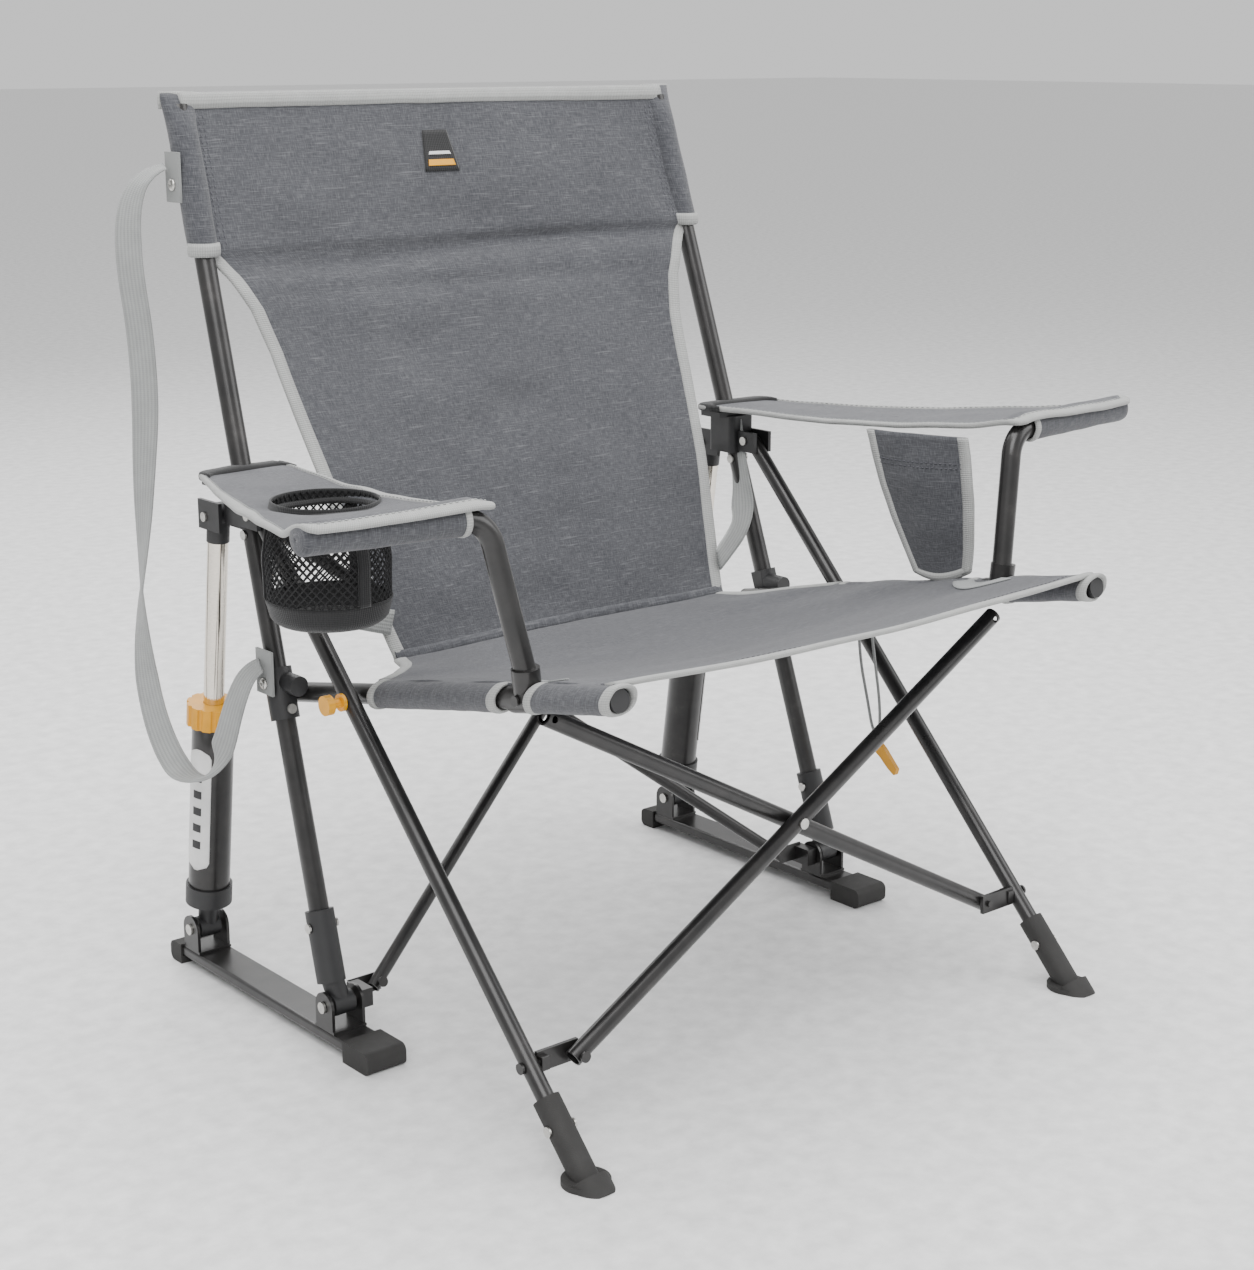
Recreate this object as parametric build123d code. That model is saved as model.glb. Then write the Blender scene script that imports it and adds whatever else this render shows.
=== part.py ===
"""Folding camp rocking chair: tube frame with front and rear cross tubes, two telescopic struts on base
rails, a sling seat and back, fabric armrests, a mesh cup holder, a hanging pocket and a carry strap.

Millimetres. +Z up, the sitter faces -Y, X = 0 is the middle plane and Z = 0 is the floor.
Each side part is built on the +X side and mirrored for the -X side.
"""

import os
from math import atan2, degrees, hypot, radians, sin, tan

from build123d import *

os.makedirs("parts", exist_ok=True)

# ---- driving dimensions -------------------------------------------------------------------------
FRAME_R = 9.5            # seat rails, uprights and arm supports
LEG_R = 8.0              # front legs and front cross tubes
REAR_CROSS_R = 6.5       # rear cross tubes
WALL = 1.4               # wall of every tube
GAP = 0.3                # clearance between pieces that only touch
PIN_R = 3.0              # pivot pins
PIN_BORE_R = 3.1         # bores that turn on those pins
BACK_HEIGHT = 851.0      # top of the back fabric

# Side profile, as (Y, Z) points.
FOOT = (-308.0, 0.0)               # front foot on the floor
ROCK_PIVOT = (47.0, 42.0)          # upright on the base rail
STRUT_PIVOT = (293.0, 42.0)        # strut on the base rail
STRUT_TOP = (233.0, 473.0)         # strut on the arm bracket
ARM_JOINT_Z = 492.0                # height of the arm bracket on the upright
UPRIGHT_LEAN = 0.324               # Y run of the upright for each unit of Z
LEG_TOP = (164.0, 484.0)           # front leg's pivot in the arm bracket
SEAT_JOINT = (-212.0, 389.0)       # arm support on the seat rail
SEAT_RISE = 0.208                  # Z rise of the seat rail for each unit forward
SEAT_REAR_Y, SEAT_FRONT_Y = 146.0, -325.0
SEAT_PIVOT_Y = 136.0               # seat rail on the hub

# Half spacings across the chair.
RAIL_X = 314.0
STRUT_X = 312.0
UPRIGHT_X_LOW, UPRIGHT_X_TOP = 319.0, 292.0
LEG_X_LOW, LEG_X_TOP = 306.0, 309.0
SEAT_RAIL_X = 288.0
FRONT_CROSS_X = 262.0
REAR_CROSS_X = 268.0

# Cross tubes, as (Y, Z) of their lower and upper ends.
FRONT_CROSS = ((-232.0, 78.0), (-214.0, 366.0))
REAR_CROSS = ((62.0, 44.0), (216.0, 462.0))

# Base rail and its end pads.
RAIL_W, RAIL_Z0, RAIL_Z1 = 38.0, 8.0, 19.0
RAIL_FRONT_Y, RAIL_REAR_Y = -26.0, 328.0
PAD_LEN, PAD_SIDE = 42.0, 2.0

# Strut, measured along its axis from the lower pivot.
CYL_R, CYL_WALL = 20.5, 2.5
CYL_START, CYL_END = 36.0, 226.0
CAP_R, CAP_LEN = 26.0, 22.0
ROD_R, ROD_START = 10.0, 112.0

# Armrest outline on the +X side, as (X, Y), and the heights of its rear and front edges.
ARM_OUTLINE = [(262, 207), (350, 202), (486, -176), (486, -206), (312, -206)]
ARM_REAR_Z, ARM_FRONT_Z, ARM_THICK = 516.0, 541.0, 5.0
CUP_CENTRE, CUP_R, CUP_DEPTH = (348.0, -12.0), 46.0, 104.0

# Fabric.
CLOTH = 4.0              # thickness of the soft panels
SLEEVE_R = 13.0          # outside of the sleeves round the tubes
SLEEVE_BORE = FRAME_R + 0.5
SLEEVE_Z = 714.0         # lower end of the back's sleeves

RIGHT, LEFT = 1, -1


# ---- helpers ------------------------------------------------------------------------------------
def bar(a, b, radius):
    """Solid round bar from a to b."""
    a, b = Vector(*a), Vector(*b)
    body = Cylinder(radius, (b - a).length, align=(Align.CENTER, Align.CENTER, Align.MIN))
    return Plane(origin=a, z_dir=b - a) * body


def tube(a, b, radius, wall=WALL):
    return bar(a, b, radius) - bar(a, b, radius - wall)


def block(centre, size):
    return Pos(*centre) * Box(*size)


def along(a, b, t):
    """Point at the share t of the way from a to b."""
    return tuple(p + (q - p) * t for p, q in zip(a, b))


def other_side(shape):
    return mirror(shape, about=Plane.YZ)


def save(name, *shapes):
    solids = [s for shape in shapes for s in shape.solids()]
    export_step(Compound(children=solids) if len(solids) > 1 else solids[0], f"parts/{name}.step")


def save_pair(name, *shapes):
    """Writes the +X piece as NAME_r and its mirror image as NAME_l."""
    save(f"{name}_r", *shapes)
    save(f"{name}_l", *[other_side(s) for s in shapes])


def upright_at(z):
    """Point on the upright's axis at height z."""
    share = (z - ROCK_PIVOT[1]) / (BACK_HEIGHT - ROCK_PIVOT[1])
    x = UPRIGHT_X_LOW + (UPRIGHT_X_TOP - UPRIGHT_X_LOW) * share
    return (x, ROCK_PIVOT[0] + UPRIGHT_LEAN * (z - ROCK_PIVOT[1]), z)


def leg_at(z):
    share = z / LEG_TOP[1]
    return (
        LEG_X_LOW + (LEG_X_TOP - LEG_X_LOW) * share,
        FOOT[0] + (LEG_TOP[0] - FOOT[0]) * share,
        z,
    )


def seat_rail_at(y, x=SEAT_RAIL_X):
    return (x, y, SEAT_JOINT[1] - SEAT_RISE * (y - SEAT_JOINT[0]))


def strut_at(s):
    """Point on the strut's axis, s from its lower pivot."""
    length = hypot(STRUT_TOP[0] - STRUT_PIVOT[0], STRUT_TOP[1] - STRUT_PIVOT[1])
    y, z = along(STRUT_PIVOT, STRUT_TOP, s / length)
    return (STRUT_X, y, z)


def cross_plane(ends, x):
    """Plane of a pair of cross tubes at an end: local X across, local Y up the plane, local Z forward."""
    (y0, z0), (y1, z1) = ends
    length = hypot(y1 - y0, z1 - z0)
    normal = (0, -(z1 - z0) / length, (y1 - y0) / length)
    return Plane(origin=(x, y0, z0), x_dir=(1, 0, 0), z_dir=normal)


# ---- side frame ---------------------------------------------------------------------------------
def front_leg():
    x, y, z = leg_at(FRONT_CROSS[0][1])
    bore = bar((x - 20, y, z), (x + 20, y, z), PIN_BORE_R)
    return tube(leg_at(15), leg_at(LEG_TOP[1] + 2), LEG_R) - bore


def front_foot():
    """Rubber boot over the leg's end, with a flared sole cut flat on the floor."""
    boot = bar(leg_at(-12), leg_at(56), LEG_R + 4) + bar(leg_at(-12), leg_at(2), LEG_R + 11)
    boot += Pos(LEG_X_LOW, FOOT[0] + 3, 0) * Cylinder(21, 5, align=(Align.CENTER, Align.CENTER, Align.MIN))
    boot -= bar(leg_at(14.8), leg_at(90), LEG_R + 0.1)
    return boot - block((LEG_X_LOW, FOOT[0], -50), (120, 160, 100))


def back_upright():
    return tube(upright_at(66), upright_at(BACK_HEIGHT - 6), FRAME_R)


def seat_rail():
    """Seat rail with its bores for the hub's pin and the arm support's screw."""
    body = tube(seat_rail_at(SEAT_REAR_Y), seat_rail_at(SEAT_FRONT_Y), FRAME_R)
    for y, radius in ((SEAT_PIVOT_Y, PIN_BORE_R), (SEAT_JOINT[0], PIN_R)):
        body -= bar(seat_rail_at(y, SEAT_RAIL_X - 20), seat_rail_at(y, SEAT_RAIL_X + 20), radius)
    return body


def seat_rail_plugs():
    """Plug in each end of the seat rail."""
    plugs = []
    for end, inside in ((SEAT_FRONT_Y, 1), (SEAT_REAR_Y, -1)):
        stem = bar(seat_rail_at(end), seat_rail_at(end + 5 * inside), FRAME_R - WALL - 0.1)
        plugs.append(stem + bar(seat_rail_at(end), seat_rail_at(end - 3 * inside), FRAME_R))
    return plugs


def arm_support_path():
    foot = seat_rail_at(SEAT_JOINT[0])
    low = (foot[0], foot[1], foot[2] + FRAME_R + 1.5)
    return FilletPolyline(low, (316, -196, 540), (478, -190, 544), radius=30)


def arm_support():
    """Bent tube from the saddle on the seat rail up to the armrest's front edge, with its saddle."""
    foot = seat_rail_at(SEAT_JOINT[0])
    path = arm_support_path()
    start = Plane(origin=path @ 0, z_dir=path % 0)
    body = sweep(start * (Circle(FRAME_R) - Circle(FRAME_R - WALL)), path=path)
    saddle_ends = seat_rail_at(SEAT_JOINT[0] + 17), seat_rail_at(SEAT_JOINT[0] - 17)
    saddle = bar(*saddle_ends, FRAME_R + 3)
    saddle += bar((foot[0], foot[1], foot[2] + 2), (foot[0] + 3, foot[1], foot[2] + 26), FRAME_R + 2.5)
    saddle -= bar(*saddle_ends, FRAME_R + 0.1)
    saddle -= bar(path @ 0, path @ 0.2, FRAME_R)
    x, y, z = foot
    saddle -= bar((x - 20, y, z), (x + 20, y, z), PIN_R)
    return body, saddle, screw_through(foot, FRAME_R + 3.4)


def arm_bracket():
    """Moulded slider on the upright that holds the leg's top, the strut's top and the armrest."""
    x, y, z = upright_at(ARM_JOINT_Z)
    body = fillet(block((x, y, z - 2), (33, 38, 40)).edges().filter_by(Axis.Z), 6)
    body += block((x + 4, y + 2, z + 20), (66, 30, 6))
    for side in (LEFT, RIGHT):
        front = block((leg_at(LEG_TOP[1])[0] + side * (LEG_R + 2.6), y - 28, z - 9), (4, 34, 22))
        rear = block((STRUT_X + side * 13, STRUT_TOP[0] - 7, STRUT_TOP[1] + 2), (3.6, 38, 28))
        body += front + rear
    body -= bar(upright_at(z - 60), upright_at(z + 60), FRAME_R + 0.1)
    return body


def seat_hub():
    """Moulded collar on the upright that holds the seat rail's rear end."""
    x, y, z = upright_at(seat_rail_at(SEAT_REAR_Y - 8)[2])
    body = bar(upright_at(z - 20), upright_at(z + 26), FRAME_R + 4)
    body += bar((x - 3, y - 4, z + 15), (x - 3, y - 27, z + 15), FRAME_R)
    body -= bar(upright_at(z - 60), upright_at(z + 60), FRAME_R + 0.1)
    return body - block((SEAT_RAIL_X + FRAME_R + 0.4 - 50, y, z), (100, 200, 200))


def upright_socket():
    """Moulded socket under the upright, with the lug that turns on the base rail."""
    x = RAIL_X
    body = bar(upright_at(62), upright_at(126), FRAME_R + 4)
    body += bar((x, *ROCK_PIVOT), upright_at(70), FRAME_R + 1)
    body += bar((x - 11, *ROCK_PIVOT), (x + 11, *ROCK_PIVOT), 11)
    body -= bar(upright_at(65), upright_at(140), FRAME_R + 0.1)
    return body - bar((x - 30, *ROCK_PIVOT), (x + 30, *ROCK_PIVOT), PIN_R + 0.02)


def cross_link(ends, pivot_x, in_front, side_x, height, with_pin=True):
    """Plate beside a cross tube's lower end, with the pivot pin that the tube turns on."""
    plane = cross_plane(ends, pivot_x)
    sign = -1 if in_front else 1
    plate = Pos((side_x - pivot_x) / 2 - 4, 0, sign * 2.4) * Box(side_x - pivot_x + 8, height, 4)
    if not with_pin:
        return plane * plate
    pin = Pos(0, 0, -sign * 6) * Cylinder(PIN_R, 26)
    head = Pos(0, 0, -sign * 19) * Cylinder(PIN_R + 2, 2)
    return plane * (plate + pin + head)


def front_link(side):
    """Link on the front leg, turning on a pin across it. On the -X side the cross tube lies in front."""
    x, y, z = leg_at(FRONT_CROSS[0][1])
    body = cross_link(FRONT_CROSS, FRONT_CROSS_X, side == LEFT, x - LEG_R - 0.6, 18)
    body += block((x - LEG_R - 4.6, y, z), (8, 12, 12))
    body += bar((x - LEG_R - 2, y, z), (x + LEG_R + 2.5, y, z), PIN_R)
    body += bar((x + LEG_R + 0.8, y, z), (x + LEG_R + 3, y, z), PIN_R + 2)
    return body if side == RIGHT else other_side(body)


def rear_link(side):
    """Link fixed beside the rock pivot. The +X one has no pin, so that its cross tube is free there."""
    body = cross_link(REAR_CROSS, REAR_CROSS_X, side == LEFT, RAIL_X - 22, 17, side == LEFT)
    body += block((RAIL_X - 25, ROCK_PIVOT[0] + 5, ROCK_PIVOT[1]), (12, 26, 18))
    return body if side == RIGHT else other_side(body)


def screw_through(centre, radius, axis=(1, 0, 0)):
    """Screw across a tube of that radius, with a domed head at each side."""
    c, d = Vector(*centre), Vector(*axis)
    body = bar(c - d * (radius + 1), c + d * (radius + 1), PIN_R - 0.4)
    for side in (LEFT, RIGHT):
        tip = c + d * side * (radius + 0.2)
        body += bar(tip, tip + d * side * 1.8, 4.6)
    return body


def side_screws():
    """Screws and rivets of one side frame, and the pin that the base rail turns on."""
    hub_z = seat_rail_at(SEAT_REAR_Y - 8)[2]
    seat_pin = bar(seat_rail_at(SEAT_PIVOT_Y, 274.5), seat_rail_at(SEAT_PIVOT_Y, 303), PIN_R)
    seat_pin += bar(seat_rail_at(SEAT_PIVOT_Y, 274.5), seat_rail_at(SEAT_PIVOT_Y, 276.8), PIN_R + 2.2)
    pin = bar((RAIL_X - 25, *ROCK_PIVOT), (RAIL_X + 20.5, *ROCK_PIVOT), PIN_R)
    head = bar((RAIL_X + 18.6, *ROCK_PIVOT), (RAIL_X + 21, *ROCK_PIVOT), PIN_R + 2.5)
    leg_x = leg_at(LEG_TOP[1])[0]
    return [
        screw_through((leg_x, *LEG_TOP), LEG_R + 4.8),
        screw_through((STRUT_X, *STRUT_TOP), 15),
        seat_pin,
        screw_through(leg_at(37), LEG_R + 4.2),
        screw_through(upright_at(112), FRAME_R + 4.2),
        screw_through(upright_at(hub_z - 12), FRAME_R + 4.2, (0, 0.951, -0.308)),
        screw_through(upright_at(ARM_JOINT_Z - 30), FRAME_R),
        pin + head,
    ]


def armrest(with_cup_hole):
    """Sewn armrest panel, sloping up towards its front edge."""
    slope = degrees(atan2(ARM_FRONT_Z - ARM_REAR_Z, ARM_OUTLINE[0][1] - ARM_OUTLINE[-1][1]))
    sketch = make_face(Polyline(*ARM_OUTLINE, close=True))
    sketch = fillet(sketch.vertices(), 9)
    if with_cup_hole:
        sketch -= Pos(*CUP_CENTRE) * Circle(CUP_R - 2)
    rear_y = ARM_OUTLINE[0][1]
    panel = Pos(0, rear_y, ARM_REAR_Z) * Rot(-slope, 0, 0) * Pos(0, -rear_y, 0) * extrude(sketch, ARM_THICK)
    path = arm_support_path()
    panel -= sweep(Plane(origin=path @ 0, z_dir=path % 0) * Circle(FRAME_R + 0.2), path=path)
    return panel - bar(upright_at(470), upright_at(570), FRAME_R + GAP)


# ---- base rail ----------------------------------------------------------------------------------
def base_rail():
    mid = (RAIL_FRONT_Y + RAIL_REAR_Y) / 2
    length = RAIL_REAR_Y - RAIL_FRONT_Y
    body = block((RAIL_X, mid, (RAIL_Z0 + RAIL_Z1) / 2), (RAIL_W, length, RAIL_Z1 - RAIL_Z0))
    body = fillet(body.edges().filter_by(Axis.Y), 3)
    inside = (RAIL_W - 2 * WALL, length + 2, RAIL_Z1 - RAIL_Z0 - 2 * WALL)
    return body - block((RAIL_X, mid, (RAIL_Z0 + RAIL_Z1) / 2), inside)


def rail_pads():
    """Moulded end cap at each end of the base rail, deeper than the rail so that it stands on them."""
    pads = []
    for end, inward, length in ((RAIL_FRONT_Y, 1, PAD_LEN), (RAIL_REAR_Y, -1, PAD_LEN / 2)):
        width, height = RAIL_W + 2 * PAD_SIDE, RAIL_Z1 + 2
        pad = block((RAIL_X, end + inward * (length / 2 - 3), height / 2), (width, length, height))
        outer = pad.edges().filter_by(Axis.X).sort_by(Axis.Y)
        pad = fillet(outer[:2] if inward > 0 else outer[-2:], 7)
        hole_z = (RAIL_Z0 + RAIL_Z1) / 2
        hole_y = end + inward * (length / 2 + 2)
        rail_room = (RAIL_W + 0.2, length + 4.2, RAIL_Z1 - RAIL_Z0 + 0.2)
        pads.append(pad - block((RAIL_X, hole_y, hole_z), rail_room))
    return pads


def rail_clevises():
    """Two folded steel brackets on the base rail: for the upright and for the strut."""
    clevises = []
    for y, z in (ROCK_PIVOT, STRUT_PIVOT):
        base_z = RAIL_Z1 + 0.05
        body = block((RAIL_X, y, base_z + 1.25), (36, 32, 2.5))
        for side in (LEFT, RIGHT):
            x = RAIL_X + side * 16.5
            ear = block((x, y, (base_z + z) / 2), (3, 28, z - base_z))
            body += ear + bar((x - 1.5, y, z), (x + 1.5, y, z), 14)
        clevises.append(body - bar((RAIL_X - 40, y, z), (RAIL_X + 40, y, z), PIN_BORE_R))
    return clevises


def rail_pins():
    """Pin that the strut turns on."""
    body = bar((RAIL_X - 19, *STRUT_PIVOT), (RAIL_X + 19, *STRUT_PIVOT), PIN_R)
    for side in (LEFT, RIGHT):
        x = RAIL_X + side * 18.2
        body += bar((x, *STRUT_PIVOT), (x + side * 2.2, *STRUT_PIVOT), PIN_R + 2.5)
    return body


# ---- strut --------------------------------------------------------------------------------------
def cylinder():
    return bar(strut_at(CYL_START), strut_at(CYL_END), CYL_R) - bar(
        strut_at(CYL_START), strut_at(CYL_END), CYL_R - CYL_WALL
    )


def cylinder_base():
    """Plug and collar under the cylinder, with the lug that turns on the rail's rear pin."""
    body = bar(strut_at(30), strut_at(CYL_START - 0.05), CYL_R + 2.5)
    body += bar(strut_at(30), strut_at(CYL_START + 14), CYL_R - CYL_WALL - 0.1)
    body += bar(strut_at(CYL_START - 8), strut_at(CYL_START + 12), CYL_R + 2.5) - bar(
        strut_at(CYL_START - 0.05), strut_at(CYL_START + 13), CYL_R + 0.1
    )
    body += bar(strut_at(0), strut_at(31), 10)
    body += bar((RAIL_X - 11, *STRUT_PIVOT), (RAIL_X + 11, *STRUT_PIVOT), 11)
    return body - bar((RAIL_X - 30, *STRUT_PIVOT), (RAIL_X + 30, *STRUT_PIVOT), PIN_BORE_R)


def gland_cap():
    """Ribbed yellow cap that closes the cylinder and guides the rod."""
    body = bar(strut_at(CYL_END - 4), strut_at(CYL_END - 4 + CAP_LEN), CAP_R)
    strut_way = Vector(*strut_at(9)) - Vector(*strut_at(0))
    axis = Plane(origin=strut_at(CYL_END - 4), x_dir=(1, 0, 0), z_dir=strut_way)
    ribs = 12
    for i in range(ribs):
        body -= axis * Rot(0, 0, 360 / ribs * i) * Pos(CAP_R + 1, 0, CAP_LEN / 2) * Cylinder(3, CAP_LEN + 2)
    body -= bar(strut_at(CYL_END - 5), strut_at(CYL_END + 0.05), CYL_R + 0.1)
    return body - bar(strut_at(CYL_END - 10), strut_at(CYL_END + CAP_LEN + 10), ROD_R + GAP)


def strut_length():
    return hypot(STRUT_TOP[0] - STRUT_PIVOT[0], STRUT_TOP[1] - STRUT_PIVOT[1])


def piston_rod():
    """Rod with the piston turned on its lower end."""
    body = bar(strut_at(ROD_START), strut_at(strut_length() - 13), ROD_R)
    return body + bar(strut_at(ROD_START - 8), strut_at(ROD_START + 12), CYL_R - CYL_WALL - 0.4)


def rod_eye():
    """Eye on the rod's upper end. Its bore has room round the bracket's pin."""
    top = strut_length()
    body = bar((STRUT_X - 9, *STRUT_TOP), (STRUT_X + 9, *STRUT_TOP), 12)
    body += bar(strut_at(top - 26), strut_at(top - 4), ROD_R + 0.9)
    body -= bar(strut_at(top - 30), strut_at(top - 13), ROD_R + 0.02)
    return body - bar((STRUT_X - 20, *STRUT_TOP), (STRUT_X + 20, *STRUT_TOP), PIN_R + 1.2)


# ---- cross tubes --------------------------------------------------------------------------------
def cross_tube(ends, pivot_x, radius, lower_side, in_front):
    """Tube from its lower end on one side to its upper end on the other, with pivot bores."""
    plane = cross_plane(ends, 0)
    rise = hypot(ends[1][0] - ends[0][0], ends[1][1] - ends[0][1])
    offset = (radius + GAP) * (1 if in_front else -1)
    low = Vector(lower_side * pivot_x, 0, offset)
    high = Vector(-lower_side * pivot_x, rise, offset)
    step = (high - low).normalized() * 6
    body = tube(low - step, high + step, radius)
    for point in (low, (low + high) / 2, high):
        body -= Pos(*point) * Cylinder(PIN_BORE_R, 4 * radius)
    return plane * body


def cross_rivet(ends, radius):
    """Rivet through the middle of both tubes."""
    rise = hypot(ends[1][0] - ends[0][0], ends[1][1] - ends[0][1])
    reach = 2 * radius + GAP
    body = Cylinder(PIN_R, 2 * reach + 1)
    for side in (LEFT, RIGHT):
        body += Pos(0, 0, side * (reach + 1.2)) * Cylinder(PIN_R + 2, 1.8)
    return cross_plane(ends, 0) * Pos(0, rise / 2, 0) * body


# ---- fabric -------------------------------------------------------------------------------------
def seat_fabric():
    """Sling seat: panel between the rails, and two sleeves round each rail."""
    lean = degrees(atan2(SEAT_RISE, 1))
    front, rear = -108.0, 316.0          # along the rail from the seat joint, + to the rear
    panel_z = 8.0
    outline = [(-258, front), (258, front), (258, 216), (207, rear), (-207, rear), (-258, 216)]
    body = Pos(0, 0, panel_z - CLOTH / 2) * extrude(make_face(Polyline(*outline, close=True)), CLOTH)
    for side in (LEFT, RIGHT):
        for y0, y1 in ((front, -20), (20, 216)):
            x = side * SEAT_RAIL_X
            body += Pos(side * 267, (y0 + y1) / 2, panel_z) * Box(30, y1 - y0, CLOTH)
            body += bar((x, y0, 0), (x, y1, 0), SLEEVE_R)
    for side in (LEFT, RIGHT):
        body -= bar((side * SEAT_RAIL_X, front - 9, 0), (side * SEAT_RAIL_X, 260, 0), SLEEVE_BORE)
    return Pos(0, *SEAT_JOINT) * Rot(-lean, 0, 0) * body


def back_fabric():
    """Back panel: wide above with a sleeve round each upright, curved in below."""
    low, knee, top = (103, 344), (262, 702), (upright_at(BACK_HEIGHT)[1], BACK_HEIGHT)
    profile = Polyline(
        low,
        knee,
        top,
        (top[0] - CLOTH, top[1]),
        (knee[0] - CLOTH, knee[1]),
        (low[0] - CLOTH, low[1]),
        close=True,
    )
    slab = extrude(Plane.YZ * make_face(profile), 330, both=True)
    half = [(207, 300), (207, 344), (230, 470), (246, 560), (266, 650)]
    half += [(296, SLEEVE_Z - 4), (291, BACK_HEIGHT)]
    right_edge = Spline(*[Vector(x, z) for x, z in half[1:6]])
    left_edge = mirror(right_edge, about=Plane.YZ)
    top_line = Polyline(half[5], half[6], (-half[6][0], half[6][1]), (-half[5][0], half[5][1]))
    bottom = Line((-half[1][0], half[1][1]), half[1])
    face = make_face(Curve() + [right_edge, top_line, left_edge, bottom])
    prism = extrude(Plane.XZ * face, -500)
    body = slab & prism
    for side in (LEFT, RIGHT):
        a, b = upright_at(SLEEVE_Z), upright_at(BACK_HEIGHT)
        sleeve = bar(a, b, SLEEVE_R)
        bore = bar(upright_at(SLEEVE_Z - 20), upright_at(BACK_HEIGHT - 3), SLEEVE_BORE)
        body += sleeve if side == RIGHT else other_side(sleeve)
        body -= bore if side == RIGHT else other_side(bore)
    return body


def cup_holder():
    """Mesh basket that hangs under the -X armrest."""
    x, y = -CUP_CENTRE[0], CUP_CENTRE[1]
    top = ARM_REAR_Z + 10.0
    centre = Pos(x, y, top - CUP_DEPTH)
    shape = Cylinder(CUP_R + 2.5, CUP_DEPTH, align=(Align.CENTER, Align.CENTER, Align.MIN))
    hollow = Pos(0, 0, 2.5) * Cylinder(CUP_R, CUP_DEPTH, align=(Align.CENTER, Align.CENTER, Align.MIN))
    return centre * (shape - hollow)


def accessory_pocket():
    """Flat pocket that hangs from the inner edge of the +X armrest."""
    outline = [(-31, 519), (-162, 527), (-172, 400), (-104, 386)]
    face = make_face(Polyline(*outline, close=True))
    face = fillet(face.vertices().sort_by(Axis.Y), 6)
    return extrude(Plane.YZ * face, 6).moved(Location((283, 0, 0)))


# ---- straps and small parts ---------------------------------------------------------------------
CARRY_ROUTE = [
    (-315.4, 296, 792),
    (-333, 304, 786),
    (-350, 307, 756),
    (-354, 303, 704),
    (-347, 301, 640),
    (-348, 296, 574),
    (-353, 298, 508),
    (-354, 305, 442),
    (-360, 306, 376),
    (-364, 297, 312),
    (-364, 274, 256),
    (-361, 238, 222),
    (-358, 196, 230),
    (-355, 168, 268),
    (-349, 154, 314),
    (-340, 143, 344),
    (-330, 137, 350),
]
CARRY_TUBE_R = 3.5
CLOSURE_ROUTE = [(286, -24, 335.5), (284, -29, 288), (287, -40, 240), (288, -48, 206), (290, -56, 206),
                 (288, -57, 240), (285, -50, 288), (286, -40, 337.6)]
CLOSURE_TUBE_R = 1.6


def corner_radii(points, share=0.45):
    """Largest tangent arc at each inner point that its two runs allow."""
    radii = []
    for a, b, c in zip(points, points[1:], points[2:]):
        u, v = Vector(*b) - Vector(*a), Vector(*c) - Vector(*b)
        radii.append(share * min(u.length, v.length) / tan(radians(u.get_angle(v)) / 2))
    return radii


def cord_tube(points, radius):
    radii = corner_radii(points)
    print("arc radii", [round(r) for r in radii])
    path = FilletPolyline(*points, radius=radii)
    body = sweep(Plane(origin=path @ 0, z_dir=path % 0) * Circle(radius), path=path)
    return body


def strap_tabs():
    """Reinforced tab at each end of the carry strap."""
    top = block((-309.8, 291, 782), (2.6, 25, 46))
    low = block((-324.6, 139, 342), (2.6, 27, 42))
    return [top, low]


def closure_knob():
    """Spool on the -X front leg that the closing loop hooks over."""
    x, y, z = leg_at(338)
    x = -x - LEG_R
    body = bar((x - 0.3, y, z), (x - 3.5, y, z), 8)
    body += bar((x - 3, y, z), (x - 14, y, z), 4.5)
    return body + bar((x - 13, y, z), (x - 20, y, z), 9)


def closure_hook():
    """Flat yellow pull with a hooked end, on the closing loop."""
    outline = [(-44, 199), (-50, 203.6), (-66, 192), (-84, 174)]
    outline += [(-82, 166), (-72, 172), (-60, 182), (-50, 188)]
    face = fillet(make_face(Polyline(*outline, close=True)).vertices(), 2)
    return extrude(Plane.YZ * face, 5).moved(Location((286.5, 0, 0)))


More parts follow.
